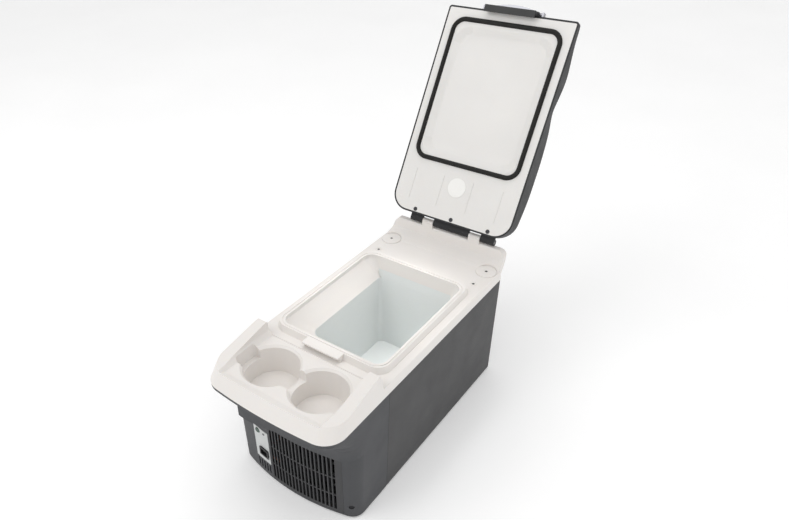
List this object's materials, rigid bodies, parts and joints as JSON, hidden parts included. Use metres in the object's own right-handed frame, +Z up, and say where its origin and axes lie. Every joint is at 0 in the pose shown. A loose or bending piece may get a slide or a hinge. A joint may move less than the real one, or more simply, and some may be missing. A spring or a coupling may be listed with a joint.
{
  "type": "compressor cooler fridge",
  "caption": "Console cooler fridge with an armrest lid hinged at the rear, a gasketed storage bin, cup wells in front, and a ventilated nose housing the compressor unit.",
  "frame": {"origin": "centre of the case footprint at floor level", "axes": "+Z up, -Y towards the ventilated nose, +X along the hinge, to the right for a viewer facing the nose"},
  "size_m": [0.2, 0.5822, 0.5027],
  "materials": {
    "case_plastic": "fine textured charcoal",
    "nose_plastic": "fine textured charcoal",
    "deck_white": "satin warm white",
    "panel_white": "satin white",
    "liner_grey": "smooth cool grey",
    "lid_dark": "fine textured dark",
    "pad_dark": "soft grained vinyl",
    "gasket_rubber": "matt",
    "feet_rubber": "matt",
    "steel": "bright",
    "zinc": "zinc plated",
    "latch_metal": "satin anodised",
    "black_plastic": "satin black",
    "plate_grey": "satin light grey",
    "button_green": "dark green",
    "lens_dark": "tinted",
    "foam": "foamed",
    "foam_lid": "foamed",
    "copper": "copper tube",
    "comp_black": "semi-gloss black",
    "iron": "as cast",
    "pcb": "solder mask",
    "badge_blank": "blank",
    "wire": "sleeved"
  },
  "bodies": {
    "case": {"base_plate": "case_plastic", "base_screws": "zinc", "board_components": "black_plastic", "board_standoffs": "zinc", "capillary_tube": "copper", "compressor_bracket": "zinc", "compressor_frame": "iron", "compressor_shell_lower": "comp_black", "compressor_shell_upper": "comp_black", "compressor_stator": "iron", "condenser_fins": "comp_black", "condenser_tube": "comp_black", "control_board": "pcb", "control_plate": "plate_grey", "dc_inlet_socket": "black_plastic", "deck_plug_caps": "deck_white", "deck_screws": "zinc", "discharge_line": "copper", "evaporator_coil": "copper", "fan_frame": "black_plastic", "filter_drier": "copper", "front_grille": "nose_plastic", "front_housing": "nose_plastic", "hinge_pin": "steel", "insulation_foam": "foam", "latch_strike": "deck_white", "liquid_line": "copper", "main_case": "case_plastic", "mount_bolts": "zinc", "mount_grommets": "feet_rubber", "nose_screws": "zinc", "rocker_bezel": "black_plastic", "rubber_feet": "feet_rubber", "status_lens": "lens_dark", "storage_liner": "liner_grey", "suction_line": "copper", "temp_sensor": "steel", "top_deck": "deck_white", "wire_harness": "wire"},
    "lid": {"lid_shell": "lid_dark", "armrest_pad": "pad_dark", "lid_panel": "panel_white", "lid_insulation": "foam_lid", "lid_gasket": "gasket_rubber", "lid_screws": "zinc", "lid_badge": "badge_blank", "latch_brackets": "latch_metal", "latch_pin": "steel"},
    "latch": {"latch_lever": "latch_metal", "latch_hook": "black_plastic"},
    "fan": {"fan_rotor": "black_plastic"},
    "compressor_crank": {"compressor_rotor": "steel"},
    "rocker": {"power_rocker": "black_plastic"},
    "button": {"set_button": "button_green"}
  },
  "joints": [
    {"name": "lid_hinge", "type": "hinge", "parent": "case", "child": "lid", "pos_m": [0, 0.2, 0.213], "axis": [1, 0, 0], "range_deg": [0, 120]},
    {"name": "latch_pivot", "type": "hinge", "parent": "lid", "child": "latch", "pos_m": [0, 0.35158, 0.49314], "axis": [1, 0, 0], "range_deg": [-16, 0]},
    {"name": "fan_spin", "type": "hinge", "parent": "case", "child": "fan", "pos_m": [0.024, -0.155, 0.06], "axis": [0, -1, 0], "continuous": true},
    {"name": "compressor_spin", "type": "hinge", "parent": "case", "child": "compressor_crank", "pos_m": [0.038, -0.1154, 0.05], "axis": [0, 0, 1], "continuous": true},
    {"name": "rocker_tilt", "type": "hinge", "parent": "case", "child": "rocker", "pos_m": [-0.0423, -0.18044, 0.0465], "axis": [0, 0, 1], "range_deg": [-8, 8]},
    {"name": "button_press", "type": "slide", "parent": "case", "child": "button", "axis": [0, 1, 0], "range_m": [0, 0.001]}
  ]
}
